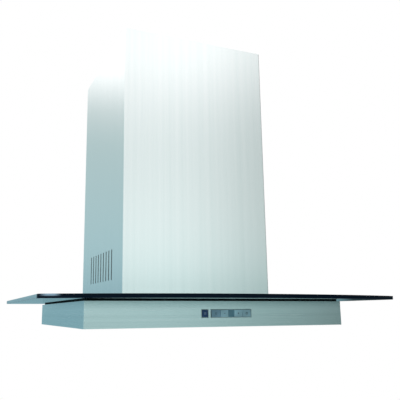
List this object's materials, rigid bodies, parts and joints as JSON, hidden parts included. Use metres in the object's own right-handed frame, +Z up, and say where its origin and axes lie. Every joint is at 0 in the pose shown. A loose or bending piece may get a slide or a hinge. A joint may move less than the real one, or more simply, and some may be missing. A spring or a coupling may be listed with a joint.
{
  "type": "range hood",
  "caption": "Wall-mounted chimney range hood: flat glass canopy with a bowed front edge over a thin steel body, telescopic cover, touch controls.",
  "frame": {"origin": "on the wall plane, on the centre line, level with the casing's bottom edge", "axes": "+X right seen from the front, +Y into the wall, +Z up"},
  "size_m": [0.6, 0.4999, 0.538],
  "materials": {
    "glass_clear": "clear tempered float glass, polished edges",
    "steel_brushed": "stainless steel, fine horizontal grain",
    "steel_zinc": "galvanised sheet",
    "steel_painted": "grey powder coat",
    "rubber_black": "soft black rubber",
    "plastic_black": "moulded, matt",
    "plastic_grey": "moulded, matt",
    "plastic_navy": "glossy dark key cap",
    "plastic_keys": "satin grey-blue key caps",
    "display_dark": "smoked window",
    "aluminium_filter": "pressed sheet, satin",
    "aluminium_mesh": "expanded mesh layers",
    "screw_steel": "zinc-plated",
    "shaft_steel": "ground steel",
    "board_green": "circuit board",
    "lamp_frost": "frosted diffuser",
    "capacitor_white": "moulded can"
  },
  "bodies": {
    "hood": {"glass_canopy": "glass_clear", "canopy_gasket": "rubber_black", "body_casing": "steel_brushed", "lower_cover": "steel_brushed", "motor_box": "steel_painted", "glass_screws": "screw_steel", "scroll_housing": "steel_zinc", "scroll_frame": "steel_zinc", "motor": "steel_painted", "motor_mount": "steel_zinc", "inlet_guard": "steel_zinc", "outlet_collar": "plastic_black", "outlet_ring": "steel_zinc", "collar_screws": "screw_steel", "terminal_box": "plastic_black", "cable_gland": "plastic_black", "capacitor": "capacitor_white", "bottom_panel": "steel_brushed", "panel_screws": "screw_steel", "lamp_bezel_left": "steel_brushed", "lamp_bezel_right": "steel_brushed", "lamp_lens_left": "lamp_frost", "lamp_lens_right": "lamp_frost", "lamp_body_left": "plastic_black", "lamp_body_right": "plastic_black", "control_bezel": "plastic_navy", "display_window": "display_dark", "control_board": "board_green", "key_switches": "plastic_black", "control_housing": "plastic_black"},
    "upper_cover": {"upper_cover": "steel_brushed", "ceiling_bracket": "steel_zinc", "bracket_screws": "screw_steel"},
    "filter_left": {"filter_left": "aluminium_filter", "filter_mesh_left": "aluminium_mesh"},
    "filter_right": {"filter_right": "aluminium_filter", "filter_mesh_right": "aluminium_mesh"},
    "latch_left": {"filter_latch_left": "plastic_grey"},
    "latch_right": {"filter_latch_right": "plastic_grey"},
    "fan": {"impeller": "plastic_grey", "motor_shaft": "shaft_steel"},
    "flap_front": {"flap_front": "plastic_grey"},
    "flap_rear": {"flap_rear": "plastic_grey"},
    "power_key": {"power_key": "plastic_navy"},
    "light_key": {"light_key": "plastic_keys"},
    "minus_key": {"minus_key": "plastic_keys"},
    "plus_key": {"plus_key": "plastic_keys"},
    "timer_key": {"timer_key": "plastic_keys"}
  },
  "joints": [
    {"name": "upper_cover_slide", "type": "slide", "parent": "hood", "child": "upper_cover", "axis": [0, 0, 1], "range_m": [0, 0.35]},
    {"name": "fan_spin", "type": "hinge", "parent": "hood", "child": "fan", "pos_m": [0, -0.107, 0.15], "axis": [1, 0, 0], "continuous": true},
    {"name": "flap_front_hinge", "type": "hinge", "parent": "hood", "child": "flap_front", "pos_m": [0, -0.1626, 0.344], "axis": [-1, 0, 0], "range_deg": [0, 80]},
    {"name": "flap_rear_hinge", "type": "hinge", "parent": "hood", "child": "flap_rear", "pos_m": [0, -0.1574, 0.344], "axis": [1, 0, 0], "range_deg": [0, 80]},
    {"name": "filter_left_hinge", "type": "hinge", "parent": "hood", "child": "filter_left", "pos_m": [-0.101, -0.065, 0.0042], "axis": [1, 0, 0], "range_deg": [0, 75]},
    {"name": "latch_left_slide", "type": "slide", "parent": "filter_left", "child": "latch_left", "axis": [0, 1, 0], "range_m": [0, 0.005], "stiffness_N_per_m": 300},
    {"name": "filter_right_hinge", "type": "hinge", "parent": "hood", "child": "filter_right", "pos_m": [0.101, -0.065, 0.0042], "axis": [1, 0, 0], "range_deg": [0, 75]},
    {"name": "latch_right_slide", "type": "slide", "parent": "filter_right", "child": "latch_right", "axis": [0, 1, 0], "range_m": [0, 0.005], "stiffness_N_per_m": 300},
    {"name": "power_key_press", "type": "slide", "parent": "hood", "child": "power_key", "axis": [0, 1, 0], "range_m": [0, 0.001], "stiffness_N_per_m": 400},
    {"name": "light_key_press", "type": "slide", "parent": "hood", "child": "light_key", "axis": [0, 1, 0], "range_m": [0, 0.001], "stiffness_N_per_m": 400},
    {"name": "minus_key_press", "type": "slide", "parent": "hood", "child": "minus_key", "axis": [0, 1, 0], "range_m": [0, 0.001], "stiffness_N_per_m": 400},
    {"name": "plus_key_press", "type": "slide", "parent": "hood", "child": "plus_key", "axis": [0, 1, 0], "range_m": [0, 0.001], "stiffness_N_per_m": 400},
    {"name": "timer_key_press", "type": "slide", "parent": "hood", "child": "timer_key", "axis": [0, 1, 0], "range_m": [0, 0.001], "stiffness_N_per_m": 400}
  ]
}
